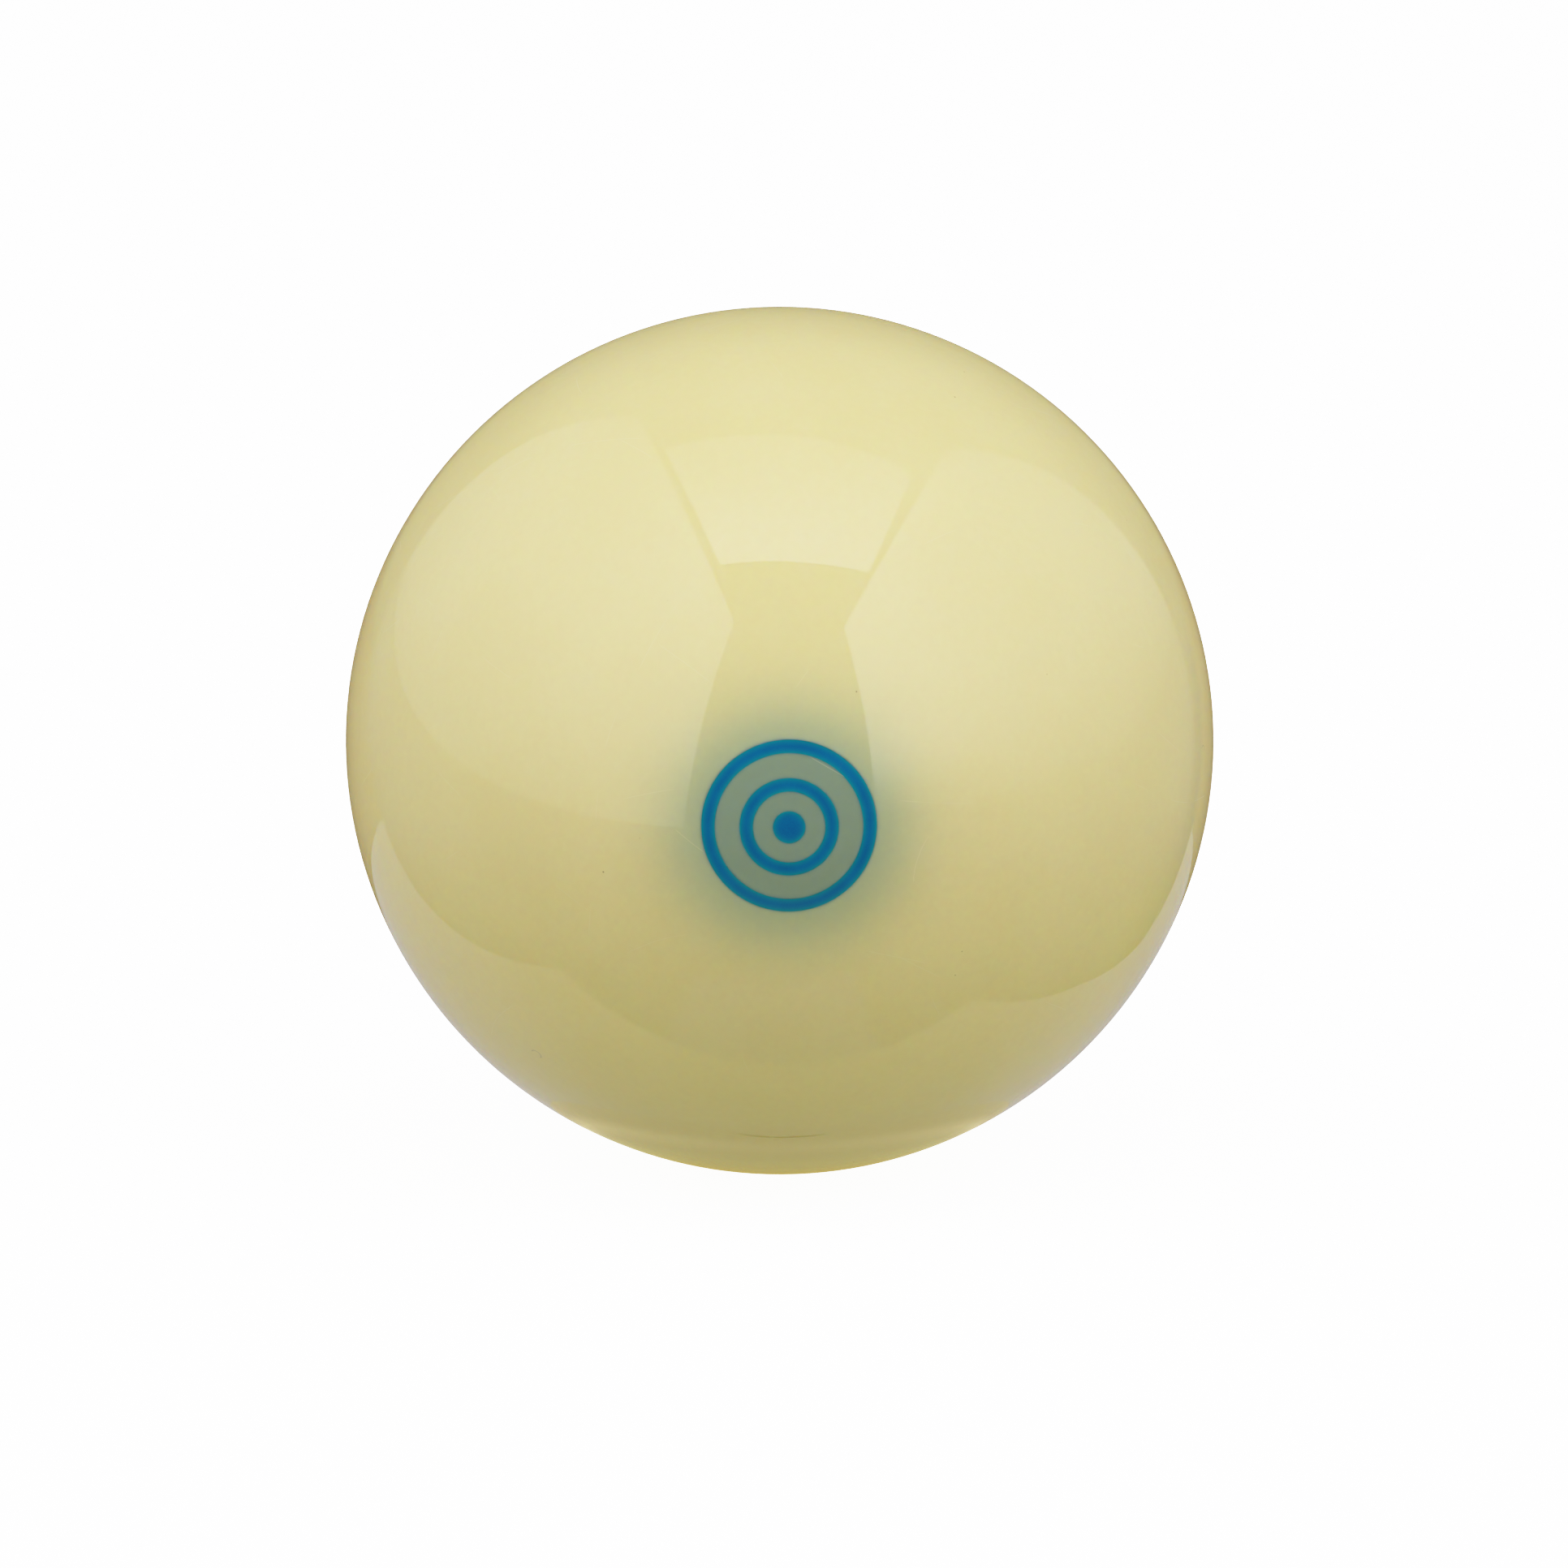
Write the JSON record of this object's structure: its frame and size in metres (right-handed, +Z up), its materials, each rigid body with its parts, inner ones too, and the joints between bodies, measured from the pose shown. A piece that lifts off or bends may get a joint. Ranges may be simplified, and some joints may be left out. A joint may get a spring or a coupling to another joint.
{
  "type": "cue ball",
  "caption": "Solid glossy ivory resin cue ball with a round blue aiming mark of rings and a dot inlaid flush in its front.",
  "frame": {"origin": "the ball's centre", "axes": "-Y through the middle of the blue mark, which faces the front; +Z up; +X to the right seen from the front"},
  "size_m": [0.0572, 0.0572, 0.0572],
  "materials": {
    "ivory_resin": "polished",
    "blue_resin": "polished"
  },
  "bodies": {
    "root": {"ball_body": "ivory_resin", "mark_centre_dot": "blue_resin", "mark_inner_ring": "blue_resin", "mark_outer_ring": "blue_resin"}
  },
  "joints": []
}
